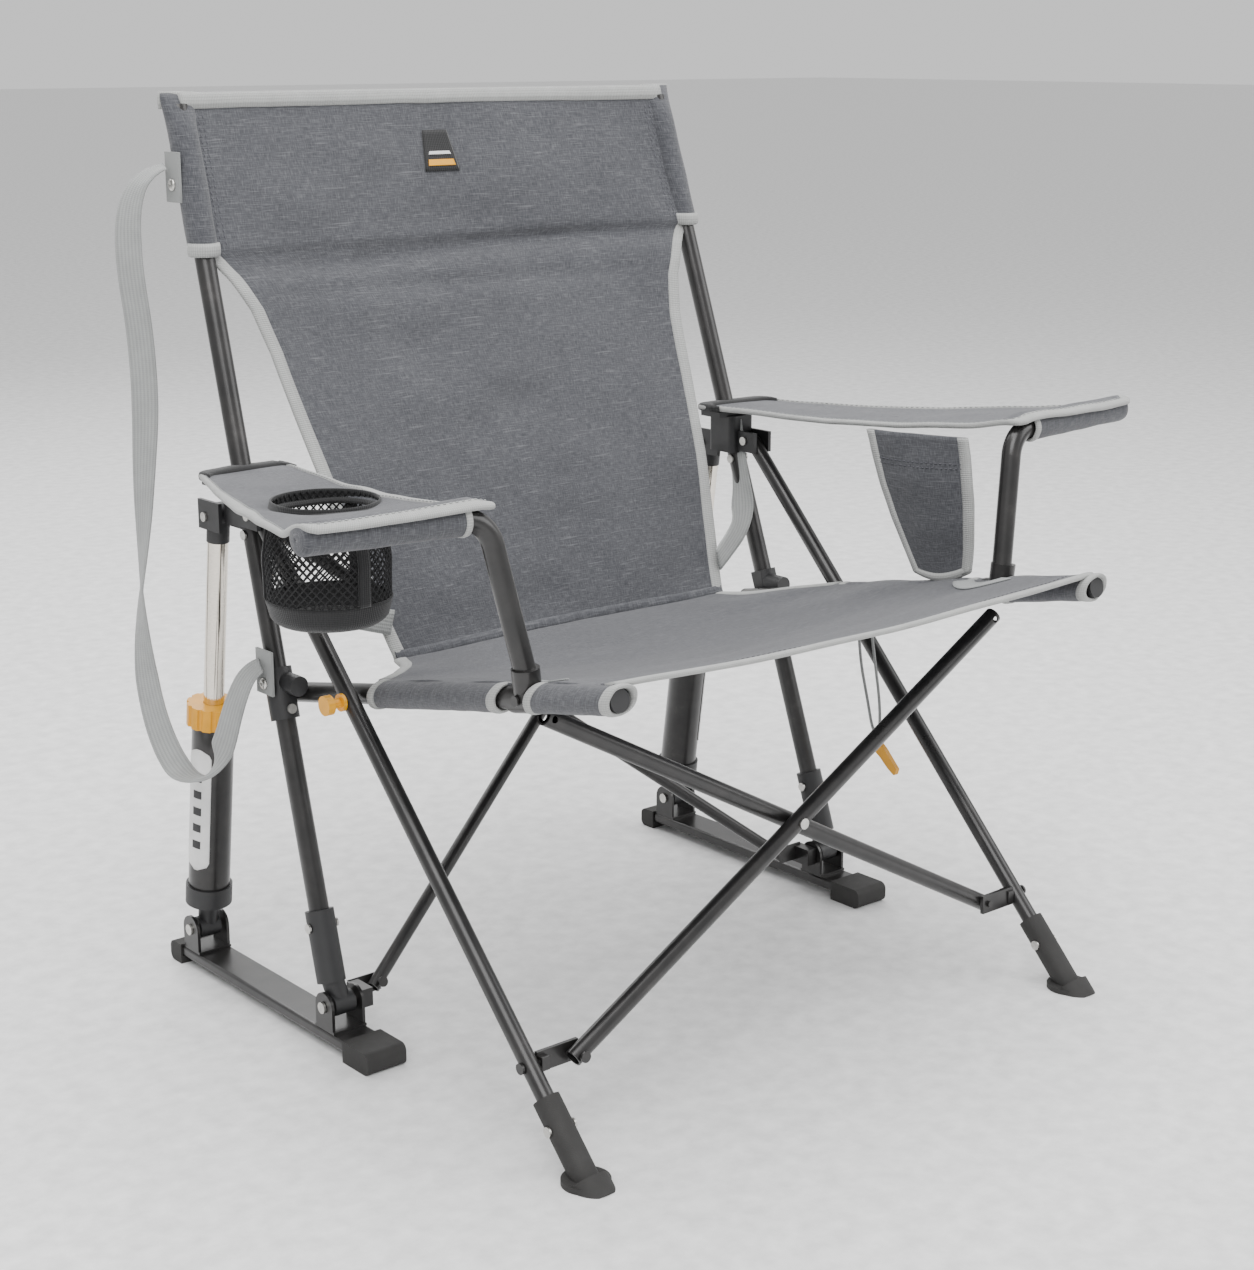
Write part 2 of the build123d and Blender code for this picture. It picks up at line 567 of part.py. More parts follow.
def main():
    save_pair("front_leg", front_leg())
    save_pair("front_foot", front_foot())
    save_pair("back_upright", back_upright())
    save_pair("seat_rail", seat_rail())
    save_pair("seat_rail_plugs", *seat_rail_plugs())
    save_pair("arm_support", *arm_support())
    save_pair("arm_bracket", arm_bracket())
    save_pair("seat_hub", seat_hub())
    save_pair("upright_socket", upright_socket())
    save("front_link_r", front_link(RIGHT))
    save("front_link_l", front_link(LEFT))
    save("rear_link_r", rear_link(RIGHT))
    save("rear_link_l", rear_link(LEFT))
    save_pair("side_screws", *side_screws())
    save("armrest_r", armrest(False))
    save("armrest_l", other_side(armrest(True)))
    save_pair("base_rail", base_rail())
    save_pair("rail_pads", *rail_pads())
    save_pair("rail_clevises", *rail_clevises())
    save_pair("rail_pins", rail_pins())
    save_pair("cylinder", cylinder())
    save_pair("cylinder_base", cylinder_base())
    save_pair("gland_cap", gland_cap())
    save_pair("piston_rod", piston_rod())
    save_pair("rod_eye", rod_eye())
    save("front_cross_b", cross_tube(FRONT_CROSS, FRONT_CROSS_X, LEG_R, LEFT, True))
    save("front_cross_a", cross_tube(FRONT_CROSS, FRONT_CROSS_X, LEG_R, RIGHT, False))
    save("front_cross_rivet", cross_rivet(FRONT_CROSS, LEG_R))
    save("rear_cross_b", cross_tube(REAR_CROSS, REAR_CROSS_X, REAR_CROSS_R, LEFT, True))
    save("rear_cross_a", cross_tube(REAR_CROSS, REAR_CROSS_X, REAR_CROSS_R, RIGHT, False))
    save("rear_cross_rivet", cross_rivet(REAR_CROSS, REAR_CROSS_R))
    save("seat_fabric", seat_fabric())
    save("back_fabric", back_fabric())
    save("cup_holder", cup_holder())
    save("accessory_pocket", accessory_pocket())
    save("carry_strap", cord_tube(CARRY_ROUTE, CARRY_TUBE_R))
    save("strap_tabs", *strap_tabs())
    save("closure_knob", closure_knob())
    save("closure_loop", cord_tube(CLOSURE_ROUTE, CLOSURE_TUBE_R))
    save("closure_hook", closure_hook())


main()
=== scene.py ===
"""Looks of the folding camp rocking chair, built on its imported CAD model. Metres, +Z up, sitter faces -Y."""
from math import atan2, cos, pi, radians, sin, sqrt

import bpy
import numpy as np
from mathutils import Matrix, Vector, noise


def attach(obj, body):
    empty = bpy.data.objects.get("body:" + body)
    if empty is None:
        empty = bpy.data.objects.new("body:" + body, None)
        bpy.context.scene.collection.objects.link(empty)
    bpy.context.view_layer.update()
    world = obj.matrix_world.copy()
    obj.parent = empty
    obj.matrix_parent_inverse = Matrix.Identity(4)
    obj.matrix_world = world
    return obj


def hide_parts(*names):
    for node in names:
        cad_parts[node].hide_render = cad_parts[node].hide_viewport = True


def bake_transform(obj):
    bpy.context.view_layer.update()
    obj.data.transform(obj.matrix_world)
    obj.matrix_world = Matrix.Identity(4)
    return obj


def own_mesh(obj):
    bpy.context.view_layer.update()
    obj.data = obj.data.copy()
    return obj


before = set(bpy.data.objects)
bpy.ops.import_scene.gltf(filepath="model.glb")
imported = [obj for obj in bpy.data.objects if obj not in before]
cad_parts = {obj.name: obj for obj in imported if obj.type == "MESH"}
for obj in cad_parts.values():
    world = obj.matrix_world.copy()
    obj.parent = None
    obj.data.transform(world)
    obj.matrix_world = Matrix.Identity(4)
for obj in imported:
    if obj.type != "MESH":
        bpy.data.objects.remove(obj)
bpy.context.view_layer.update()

# ---- the frame's lines, in metres ---------------------------------------------------------------
LEFT, RIGHT = -1, 1
SIDE = {LEFT: "l", RIGHT: "r"}


def upright_at(z, side=RIGHT):
    share = (z - 0.042) / 0.809
    return np.array([side * (0.319 - 0.027 * share), 0.047 + 0.324 * (z - 0.042), z])


def seat_rail_at(y, side=RIGHT):
    return np.array([side * 0.288, y, 0.389 - 0.208 * (y + 0.212)])


def strut_at(s, side=RIGHT):
    d = np.array([0.0, -0.060, 0.431]) / sqrt(0.060**2 + 0.431**2)
    return np.array([side * 0.312, 0.293, 0.042]) + d * s


# ---- materials ----------------------------------------------------------------------------------
def new_material(name, rough=0.5, metal=0.0, **sockets):
    mat = bpy.data.materials.new(name)
    mat.use_nodes = True
    bsdf = mat.node_tree.nodes["Principled BSDF"]
    bsdf.inputs["Roughness"].default_value = rough
    bsdf.inputs["Metallic"].default_value = metal
    for key, value in sockets.items():
        bsdf.inputs[key.replace("_", " ")].default_value = value
    return mat, bsdf


class Nodes:
    """Short calls for the shader nodes used below."""

    def __init__(self, mat, space="Object"):
        self.tree = mat.node_tree
        self.coord = self.tree.nodes.new("ShaderNodeTexCoord").outputs[space]

    def link(self, a, b):
        self.tree.links.new(a, b)

    def noise(self, scale, stretch=(1, 1, 1), detail=3.0, rough=0.55, shift=(0, 0, 0)):
        mapping = self.tree.nodes.new("ShaderNodeMapping")
        mapping.inputs["Scale"].default_value = stretch
        mapping.inputs["Location"].default_value = shift
        tex = self.tree.nodes.new("ShaderNodeTexNoise")
        tex.inputs["Scale"].default_value = scale
        tex.inputs["Detail"].default_value = detail
        tex.inputs["Roughness"].default_value = rough
        self.link(self.coord, mapping.inputs["Vector"])
        self.link(mapping.outputs["Vector"], tex.inputs["Vector"])
        return tex.outputs["Fac"]

    def wave(self, pitch, axis, distortion=0.0):
        tex = self.tree.nodes.new("ShaderNodeTexWave")
        tex.bands_direction = axis
        tex.inputs["Scale"].default_value = 0.314 / pitch
        tex.inputs["Distortion"].default_value = distortion
        self.link(self.coord, tex.inputs["Vector"])
        return tex.outputs["Fac"]

    def ramp(self, fac, stops):
        node = self.tree.nodes.new("ShaderNodeValToRGB")
        while len(node.color_ramp.elements) < len(stops):
            node.color_ramp.elements.new(0.5)
        for element, (pos, colour) in zip(node.color_ramp.elements, stops):
            element.position = pos
            element.color = (*colour, 1.0)
        self.link(fac, node.inputs["Fac"])
        return node.outputs["Color"]

    def mix(self, a, b, fac=0.5, kind="MIX"):
        node = self.tree.nodes.new("ShaderNodeMix")
        node.data_type = "RGBA"
        node.blend_type = kind
        for value, socket in ((fac, 0), (a, 6), (b, 7)):
            if isinstance(value, (int, float)):
                node.inputs[socket].default_value = value
            elif isinstance(value, tuple):
                node.inputs[socket].default_value = (*value, 1.0)
            else:
                self.link(value, node.inputs[socket])
        return node.outputs[2]

    def math(self, kind, a, b):
        node = self.tree.nodes.new("ShaderNodeMath")
        node.operation = kind
        for value, socket in ((a, 0), (b, 1)):
            if isinstance(value, (int, float)):
                node.inputs[socket].default_value = value
            else:
                self.link(value, node.inputs[socket])
        return node.outputs[0]

    def span(self, fac, low, high):
        node = self.tree.nodes.new("ShaderNodeMapRange")
        node.inputs["To Min"].default_value = low
        node.inputs["To Max"].default_value = high
        self.link(fac, node.inputs["Value"])
        return node.outputs["Result"]

    def bump(self, height, bsdf, strength, distance):
        node = self.tree.nodes.new("ShaderNodeBump")
        node.inputs["Strength"].default_value = strength
        node.inputs["Distance"].default_value = distance
        self.link(height, node.inputs["Height"])
        self.link(node.outputs["Normal"], bsdf.inputs["Normal"])


def heather_fabric(name, tone=1.0):
    """Heather weave: light and dark yarns both ways, with slubs and a few pale flecks."""
    mat, bsdf = new_material(name, rough=0.92, Sheen_Weight=0.18, Sheen_Roughness=0.6)
    n = Nodes(mat, "UV")
    weft = n.noise(1.0, (95, 1050, 1), detail=2.0)
    warp = n.noise(1.0, (1050, 120, 1), detail=2.0, shift=(7, 3, 0))
    slub = n.noise(1.0, (26, 520, 1), detail=2.0, shift=(3, 9, 0))
    cloud = n.noise(9.0, detail=3.0)
    grey = [(0.30, (0.050, 0.053, 0.066)), (0.5, (0.115, 0.119, 0.138)), (0.70, (0.265, 0.270, 0.290))]
    grey = [(p, tuple(c * 0.46 * tone for c in col)) for p, col in grey]
    yarn = n.mix(n.ramp(weft, grey), n.ramp(warp, grey), 0.5)
    pale = n.ramp(slub, [(0.60, (0, 0, 0)), (0.70, (1, 1, 1))])
    yarn = n.mix(yarn, (0.22 * tone, 0.222 * tone, 0.235 * tone), n.math("MULTIPLY", pale, 0.30))
    shade = n.ramp(cloud, [(0.3, (0.86, 0.86, 0.87)), (0.7, (1.0, 1.0, 1.0))])
    n.link(n.mix(yarn, shade, 1.0, "MULTIPLY"), bsdf.inputs["Base Color"])
    n.bump(n.math("ADD", weft, warp), bsdf, 0.5, 0.0006)
    return mat


def webbing(name, colour, pitch=0.0032, axis="Y"):
    """Ribbed tape: ribs one way, cross weave the other, slightly uneven in tone."""
    mat, bsdf = new_material(name, rough=0.85, Sheen_Weight=0.15)
    n = Nodes(mat, "UV")
    ribs = n.wave(pitch, axis)
    weave = n.wave(0.0018, "X" if axis == "Y" else "Y", 0.6)
    blotch = n.noise(60.0, detail=4.0)
    both = n.math("ADD", n.math("MULTIPLY", ribs, 0.65), n.math("MULTIPLY", weave, 0.35))
    dark = tuple(c * 0.72 for c in colour)
    base = n.mix(dark, colour, both)
    tone = n.ramp(blotch, [(0.3, (0.88, 0.88, 0.88)), (0.7, (1.0, 1.0, 1.0))])
    n.link(n.mix(base, tone, 1.0, "MULTIPLY"), bsdf.inputs["Base Color"])
    n.bump(both, bsdf, 0.55, 0.0007)
    return mat


def paint():
    """Charcoal powder coat: glossy, with a faint orange peel and dusty scuffs."""
    mat, bsdf = new_material("charcoal_paint", metal=0.35, Coat_Weight=0.35, Coat_Roughness=0.22)
    n = Nodes(mat)
    wear = n.noise(38.0, detail=5.0, rough=0.6)
    base = n.ramp(
        wear, [(0.35, (0.016, 0.0155, 0.0155)), (0.62, (0.026, 0.0245, 0.024)), (0.8, (0.05, 0.047, 0.045))]
    )
    n.link(base, bsdf.inputs["Base Color"])
    n.link(n.span(n.noise(14.0, detail=4.0), 0.20, 0.42), bsdf.inputs["Roughness"])
    n.bump(n.noise(900.0, detail=1.0), bsdf, 0.12, 0.0004)
    return mat


def moulding(name, colour, low=0.38, high=0.55, grain=1400.0, bump=0.3, **extra):
    """Moulded plastic or rubber with a fine grain."""
    mat, bsdf = new_material(name, **extra)
    n = Nodes(mat)
    dull = tuple(c * 0.8 for c in colour)
    tone = n.ramp(n.noise(45.0, detail=4.0), [(0.3, dull), (0.7, colour)])
    n.link(tone, bsdf.inputs["Base Color"])
    n.link(n.span(n.noise(70.0, detail=3.0), low, high), bsdf.inputs["Roughness"])
    n.bump(n.noise(grain, detail=2.0), bsdf, bump, 0.0004)
    return mat


def bright_metal(name, colour, low, high, along=(1, 1, 1)):
    """Plated steel with fine drawing marks."""
    mat, bsdf = new_material(name, metal=1.0)
    n = Nodes(mat)
    marks = n.noise(300.0, along, detail=4.0)
    dull = tuple(c * 0.82 for c in colour)
    n.link(n.ramp(marks, [(0.35, dull), (0.6, colour)]), bsdf.inputs["Base Color"])
    n.link(n.span(marks, low, high), bsdf.inputs["Roughness"])
    n.bump(marks, bsdf, 0.08, 0.0003)
    return mat


PAINT = paint()
BLACK = moulding("black_moulding", (0.020, 0.020, 0.021))
RUBBER = moulding("black_rubber", (0.024, 0.023, 0.022), 0.6, 0.8, 900.0, 0.5)
YELLOW = moulding("yellow_plastic", (0.80, 0.36, 0.0), 0.30, 0.45, 1200.0, 0.15)
ZINC = bright_metal("zinc_plate", (0.62, 0.61, 0.58), 0.25, 0.42)
ROD = bright_metal("nickel_rod", (0.80, 0.745, 0.66), 0.08, 0.18, (1, 1, 6))
CLOTH = heather_fabric("heather_cloth")
TRIM = webbing("light_binding", (0.42, 0.425, 0.415), 0.0020, "X")
STRAP = webbing("grey_webbing", (0.36, 0.37, 0.365), 0.0034, "Y")
TAPE = webbing("black_tape", (0.018, 0.018, 0.019), 0.0022, "X")
PALE_PATCH = webbing("patch_cloth", (0.34, 0.35, 0.35), 0.0016, "X")
NET = moulding("black_net", (0.012, 0.012, 0.013), 0.6, 0.8, 700.0, 0.2)
LABEL = moulding("white_label", (0.78, 0.78, 0.77), 0.35, 0.5, 500.0, 0.05)
THREAD = moulding("thread", (0.10, 0.10, 0.115), 0.8, 0.9, 600.0, 0.2)
PALE_THREAD = moulding("pale_thread", (0.36, 0.37, 0.37), 0.8, 0.9, 600.0, 0.2)

NODE_MATERIALS = {
    "front_leg": PAINT, "back_upright": PAINT, "seat_rail": PAINT, "arm_support": PAINT, "base_rail": PAINT,
    "cylinder": PAINT, "rail_clevises": PAINT, "front_link": PAINT, "rear_link": PAINT, "front_cross": PAINT,
    "rear_cross": PAINT, "arm_bracket": BLACK, "seat_hub": BLACK, "upright_socket": BLACK,
    "seat_rail_plugs": BLACK, "cylinder_base": BLACK, "rod_eye": BLACK, "front_foot": RUBBER,
    "rail_pads": RUBBER, "side_screws": ZINC, "rail_pins": ZINC, "piston_rod": ROD, "gland_cap": YELLOW,
    "closure_knob": YELLOW, "closure_hook": YELLOW, "front_cross_rivet": ZINC, "rear_cross_rivet": ZINC,
    "strap_tabs": STRAP,
}


def stem_of(node):
    return node[:-2] if node[-2:] in ("_l", "_r", "_a", "_b") else node


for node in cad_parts:
    mat = NODE_MATERIALS.get(node) or NODE_MATERIALS.get(stem_of(node))
    obj = bpy.data.objects.get(node)
    if mat and obj:
        for slot in obj.material_slots:
            slot.material = mat
        if not obj.material_slots:
            obj.data.materials.append(mat)


# ---- mesh builders ------------------------------------------------------------------------------
def normals_of(points, closed=False):
    """Unit normals of a grid of points."""
    du = np.gradient(points, axis=0)
    if closed:
        du = np.roll(points, -1, 0) - np.roll(points, 1, 0)
    dv = np.gradient(points, axis=1)
    n = np.cross(du, dv)
    return n / np.maximum(np.linalg.norm(n, axis=2, keepdims=True), 1e-12)


def shell(name, points, thick, mat, normals=None, closed=False, uv=None):
    """Closed cloth shell over a grid of points, thick/2 to each side, with a UV map in metres."""
    points = np.asarray(points, float)
    nu, nv = points.shape[:2]
    n = normals_of(points, closed) if normals is None else normals
    if uv is None:
        u = np.zeros((nu, nv))
        v = np.zeros((nu, nv))
        u[1:] = np.cumsum(np.linalg.norm(np.diff(points, axis=0), axis=2), axis=0)
        v[:, 1:] = np.cumsum(np.linalg.norm(np.diff(points, axis=1), axis=2), axis=1)
        u = u[:, nv // 2][:, None] + 0 * u
        v = v[nu // 2][None, :] + 0 * v
        uv = np.stack([u, v], axis=2)
    flat = [points + n * thick / 2, points - n * thick / 2]
    verts = np.concatenate([f.reshape(-1, 3) for f in flat])
    uvs = np.concatenate([uv.reshape(-1, 2)] * 2)
    size = nu * nv
    faces = []
    last = nu if closed else nu - 1
    for i in range(last):
        k = (i + 1) % nu
        for j in range(nv - 1):
            a, b, c, d = i * nv + j, k * nv + j, k * nv + j + 1, i * nv + j + 1
            faces += [(a, b, c, d), (a + size, d + size, c + size, b + size)]
        for j in (0, nv - 1):
            a, b = i * nv + j, k * nv + j
            faces.append((a, a + size, b + size, b) if j == 0 else (a, b, b + size, a + size))
    if not closed:
        for i in (0, nu - 1):
            for j in range(nv - 1):
                a, b = i * nv + j, i * nv + j + 1
                faces.append((a, b, b + size, a + size) if i == 0 else (a, a + size, b + size, b))
    return mesh_object(name, verts, faces, mat, uvs)


def mesh_object(name, verts, faces, mat, uvs=None):
    mesh = bpy.data.meshes.new(name)
    mesh.from_pydata([tuple(map(float, v)) for v in verts], [], faces)
    if uvs is not None:
        layer = mesh.uv_layers.new(name="UVMap")
        index = np.zeros(len(mesh.loops), dtype=np.int32)
        mesh.loops.foreach_get("vertex_index", index)
        layer.data.foreach_set("uv", np.asarray(uvs, np.float32)[index].ravel())
    mesh.materials.append(mat)
    mesh.polygons.foreach_set("use_smooth", [True] * len(mesh.polygons))
    mesh.update()
    obj = bpy.data.objects.new(name, mesh)
    bpy.context.scene.collection.objects.link(obj)
    return obj


def unit(v):
    return v / np.maximum(np.linalg.norm(v, axis=-1, keepdims=True), 1e-12)


def binding(name, edge, inward, normal, width, half=0.0022, mat=None, closed=False):
    """Tape folded over a cloth edge: a rounded U in section, swept along the edge."""
    section = [
        (width, half * 0.75), (width * 0.5, half), (0.002, half), (-0.0010, half * 0.7), (-0.0018, 0.0),
        (-0.0010, -half * 0.7), (0.002, -half), (width * 0.5, -half), (width, -half * 0.75),
    ]
    edge = np.asarray(edge, float)
    inward, normal = unit(np.asarray(inward, float)), unit(np.asarray(normal, float))
    count, m = len(edge), len(section)
    verts = [edge[i] + inward[i] * a + normal[i] * b for i in range(count) for a, b in section]
    steps = np.linalg.norm(np.diff(edge, axis=0), axis=1)
    length = np.concatenate([[0], np.cumsum(steps)])
    uvs = [(length[i], width * 2 * k / m) for i in range(count) for k in range(m)]
    faces = []
    for i in range(count if closed else count - 1):
        j = (i + 1) % count
        for k in range(m):
            q = (k + 1) % m
            faces.append((i * m + k, i * m + q, j * m + q, j * m + k))
    if not closed:
        faces += [tuple(range(m))[::-1], tuple((count - 1) * m + k for k in range(m))]
    return mesh_object(name, verts, faces, mat or TRIM, uvs)


def stitches(name, line, normal, lift, mat=None, pitch=0.0060, size=0.0034, wide=0.00055):
    """Row of stitches along a line on a cloth surface."""
    line, normal = np.asarray(line, float), unit(np.asarray(normal, float))
    steps = np.concatenate([[0], np.cumsum(np.linalg.norm(np.diff(line, axis=0), axis=1))])
    verts, faces = [], []
    for start in np.arange(0.002, steps[-1] - size, pitch):
        ends = []
        for s in (start, start + size):
            ends.append(np.array([np.interp(s, steps, line[:, k]) for k in range(3)]))
        up = np.array([np.interp(start, steps, normal[:, k]) for k in range(3)])
        along = unit(ends[1] - ends[0])
        across = unit(np.cross(up, along))
        base = len(verts)
        for share, reach in ((0, 0.35), (0.25, 1.0), (0.75, 1.0), (1, 0.35)):
            centre = ends[0] + (ends[1] - ends[0]) * share + up * lift
            for k in range(6):
                t = 2 * pi * k / 6
                verts.append(centre + (across * cos(t) + up * sin(t) * 0.8) * wide * reach)
        for ring in range(3):
            for k in range(6):
                q = (k + 1) % 6
                a = base + ring * 6
                faces.append((a + k, a + q, a + 6 + q, a + 6 + k))
        faces += [tuple(base + k for k in range(6))[::-1], tuple(base + 18 + k for k in range(6))]
    return mesh_object(name, verts, faces, mat or THREAD, None)


def smooth_noise(p, scale, seed=0.0):
    return noise.noise(Vector((p[0] * scale + seed, p[1] * scale - seed, p[2] * scale + 2 * seed)))


def spline_points(name, points):
    """Points along a smooth NURBS route."""
    curve = bpy.data.curves.new(name, "CURVE")
    curve.dimensions = "3D"
    curve.resolution_u = 12
    spline = curve.splines.new("NURBS")
    spline.points.add(len(points) - 1)
    for p, co in zip(spline.points, points):
        p.co = (*co, 1.0)
    spline.order_u = 3
    spline.use_endpoint_u = True
    obj = bpy.data.objects.new(name, curve)
    bpy.context.scene.collection.objects.link(obj)
    bpy.context.view_layer.update()
    mesh = bpy.data.meshes.new_from_object(obj)
    out = np.array([tuple(v.co) for v in mesh.vertices])
    bpy.data.objects.remove(obj)
    bpy.data.meshes.remove(mesh)
    return out


def ribbon(name, centres, across, width, thick, mat):
    """Flat tape along centres, its width along the across vectors."""
    centres, across = np.asarray(centres, float), np.asarray(across, float)
    tangent = unit(np.gradient(centres, axis=0))
    across = unit(across - tangent * np.sum(across * tangent, axis=1, keepdims=True))
    shares = np.linspace(-0.5, 0.5, 6)
    grid = centres[:, None, :] + across[:, None, :] * (shares * width)[None, :, None]
    length = np.concatenate([[0], np.cumsum(np.linalg.norm(np.diff(centres, axis=0), axis=1))])
    uv = np.stack(
        [length[:, None] + 0 * shares[None, :], (shares * width)[None, :] + 0 * length[:, None]], axis=2
    )
    return shell(name, grid, thick, mat, uv=uv)


# ---- camera, light and floor --------------------------------------------------------------------
camera_data = bpy.data.cameras.new("camera")
camera_data.lens = 63.77
camera_data.sensor_width = 36.0
camera_data.shift_x = -0.0040
camera_data.shift_y = -0.0065
camera = bpy.data.objects.new("camera", camera_data)
camera.location = (-1.3497, -1.6036, 0.9045)
camera.rotation_euler = (Vector((0, 0, 0.3582)) - camera.location).to_track_quat("-Z", "Y").to_euler()
bpy.context.scene.collection.objects.link(camera)
bpy.context.scene.camera = camera


def area_light(name, place, size, power, target=(0, 0, 0.4)):
    data = bpy.data.lights.new(name, "AREA")
    data.shape = "RECTANGLE"
    data.size, data.size_y = size
    data.energy = power
    light = bpy.data.objects.new(name, data)
    light.location = place
    light.rotation_euler = (Vector(target) - light.location).to_track_quat("-Z", "Y").to_euler()
    bpy.context.scene.collection.objects.link(light)


area_light("key_light", (-2.2, -2.0, 3.2), (2.6, 2.6), 105)
area_light("fill_light", (2.6, -2.2, 2.2), (2.6, 2.2), 55)
area_light("rim_light", (0.6, 3.0, 2.6), (3.0, 1.6), 60)
area_light("top_light", (0.0, 0.0, 3.6), (3.0, 3.0), 130)

world = bpy.data.worlds.new("studio")
world.use_nodes = True
world.node_tree.nodes["Background"].inputs["Color"].default_value = (1.0, 1.0, 1.0, 1.0)
world.node_tree.nodes["Background"].inputs["Strength"].default_value = 0.85
bpy.context.scene.world = world

floor_material = moulding("pale_floor", (0.86, 0.86, 0.86), 0.6, 0.7, 40.0, 0.0)
floor_mesh = bpy.data.meshes.new("floor")
floor_mesh.from_pydata([(-40, -40, 0), (40, -40, 0), (40, 40, 0), (-40, 40, 0)], [], [(0, 1, 2, 3)])
floor_mesh.materials.append(floor_material)
floor = bpy.data.objects.new("floor", floor_mesh)
bpy.context.scene.collection.objects.link(floor)


# ---- back ---------------------------------------------------------------------------------------
BACK_LOW, SLEEVE_LOW, BACK_TOP = 0.344, 0.714, 0.856
HALF_WIDTHS = (
    [0.344, 0.40, 0.48, 0.56, 0.62, 0.66, 0.69, 0.714],
    [0.207, 0.219, 0.234, 0.245, 0.253, 0.263, 0.278, 0.297]
)


def back_half_width(z):
    if z >= SLEEVE_LOW:
        return upright_at(z)[0] + 0.0015
    return float(np.interp(z, *HALF_WIDTHS))


def back_point(u, z):
    """Point on the back's cloth: u across from -1 to 1, z its height."""
    half = back_half_width(z)
    rise = (z - BACK_LOW) / (SLEEVE_LOW - BACK_LOW)
    if z < SLEEVE_LOW:
        y = 0.100 + (0.262 - 0.100) * rise
    else:
        y = upright_at(z)[1] - 0.006
    slack = 1 - u * u
    hollow = 0.020 * slack * (0.35 + 0.65 * min(1.0, rise))
    x = u * half
    p = (x, y, z)
    crease = 0.0045 * np.exp(-((z - 0.700 - 0.006 * sin(9 * x)) / 0.010) ** 2) * (0.5 + slack)
    crease += 0.0030 * np.exp(-((z - 0.668 + 0.010 * x) / 0.009) ** 2) * slack
    folds = 0.0035 * smooth_noise((x, 0, z * 2.6), 7.0, 1.7) * (0.4 + slack)
    pulls = 0.0028 * sin(28 * z + 16 * abs(x)) * np.exp(-((abs(u) - 0.86) / 0.16) ** 2)
    buckle = 0.0022 * smooth_noise((x, y, z), 26.0, 5.0) * slack
    return (x, y + hollow + crease + folds + pulls + buckle, z)


def ride_fold(piece):
    """Cloth between the two side frames: fixed at the -X side, with its own copy of the mesh."""
    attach(piece, "side_l")
    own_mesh(piece)


us = np.linspace(-1, 1, 89)
zs = np.concatenate(
    [np.linspace(BACK_LOW - 0.004, SLEEVE_LOW, 84), np.linspace(SLEEVE_LOW, BACK_TOP, 33)[1:]]
)
back_grid = np.array([[back_point(u, z) for z in zs] for u in us])
back_normal = normals_of(back_grid)
back = shell("back_panel", back_grid, 0.0024, CLOTH, back_normal)
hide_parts("back_fabric")
ride_fold(back)

sleeve_row = int(np.argmin(np.abs(zs - SLEEVE_LOW)))
for side in (LEFT, RIGHT):
    col = 0 if side == LEFT else -1
    inner = 1 if side == LEFT else -2
    stop = sleeve_row + 1
    edge = back_grid[col, :stop]
    ride_fold(
        binding(
            f"back_edge_{SIDE[side]}", edge, back_grid[inner, :stop] - edge, back_normal[col, :stop], 0.012
        )
    )
    seam = back_grid[col, :stop] + unit(back_grid[inner, :stop] - edge) * 0.0105
    ride_fold(
        stitches(f"back_edge_stitch_{SIDE[side]}", seam, -back_normal[col, :stop], 0.0022, PALE_THREAD)
    )
top_edge = back_grid[:, -1]
ride_fold(binding("back_top_edge", top_edge, back_grid[:, -2] - top_edge, back_normal[:, -1], 0.014, 0.0030))
for number, drop in enumerate((0.018, 0.024)):
    row = int(np.argmin(np.abs(zs - (BACK_TOP - drop))))
    ride_fold(stitches(f"back_hem_stitch_{number}", back_grid[:, row], -back_normal[:, row], 0.0015))
bottom = back_grid[:, 0]
ride_fold(
    binding(
        "back_bottom_seam", bottom, back_grid[:, 1] - bottom, back_normal[:, 0], 0.009, 0.0026, CLOTH,
    )
)


def back_sleeve(side):
    """Sleeve round the upright, flattened where it is sewn shut at the top."""
    rings, turns = 30, 40
    grid = np.zeros((turns, rings, 3))
    for j, z in enumerate(np.linspace(SLEEVE_LOW - 0.002, BACK_TOP + 0.001, rings)):
        centre = upright_at(z, side)
        flat = max(0.0, (z - 0.822) / 0.036) ** 1.5
        wide, deep = 0.0132 + 0.0046 * flat, 0.0132 * (1 - flat) + 0.0028 * flat
        for i in range(turns):
            t = 2 * pi * i / turns
            wob = 1 + 0.05 * smooth_noise((cos(t), sin(t), z * 22), 1.4, 3.0 + side)
            grid[i, j] = centre + np.array([cos(t) * wide * wob, sin(t) * deep * wob, 0])
    return grid


for side in (LEFT, RIGHT):
    s = SIDE[side]
    grid = back_sleeve(side)
    piece = shell(f"back_sleeve_{s}", grid, 0.0018, CLOTH, closed=True)
    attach(piece, f"side_{s}")
    centre = np.mean(grid[:, 0], axis=0)
    ring = grid[:, 0]
    hem = binding(
        f"back_sleeve_hem_{s}", ring, np.tile([0, 0, 1.0], (len(ring), 1)), ring - centre, 0.011, 0.0022,
        closed=True
    )
    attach(hem, f"side_{s}")
    cap_ring = grid[:, -1]
    centre = np.mean(cap_ring, axis=0)
    cap = binding(
        f"back_sleeve_top_{s}", cap_ring, np.tile([0, 0, -1.0], (len(ring), 1)), cap_ring - centre, 0.014,
        0.0022, closed=True
    )
    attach(cap, f"side_{s}")
    for number, shift in enumerate((0.018, 0.0235)):
        zz = np.linspace(SLEEVE_LOW + 0.004, BACK_TOP - 0.016, 40)
        line = np.array([back_point(-side * -1 * (1 - shift / 0.294), z) for z in zz])
        ride_fold(stitches(f"sleeve_stitch_{s}_{number}", line, np.tile([0, -1.0, 0.3], (40, 1)), 0.0015))

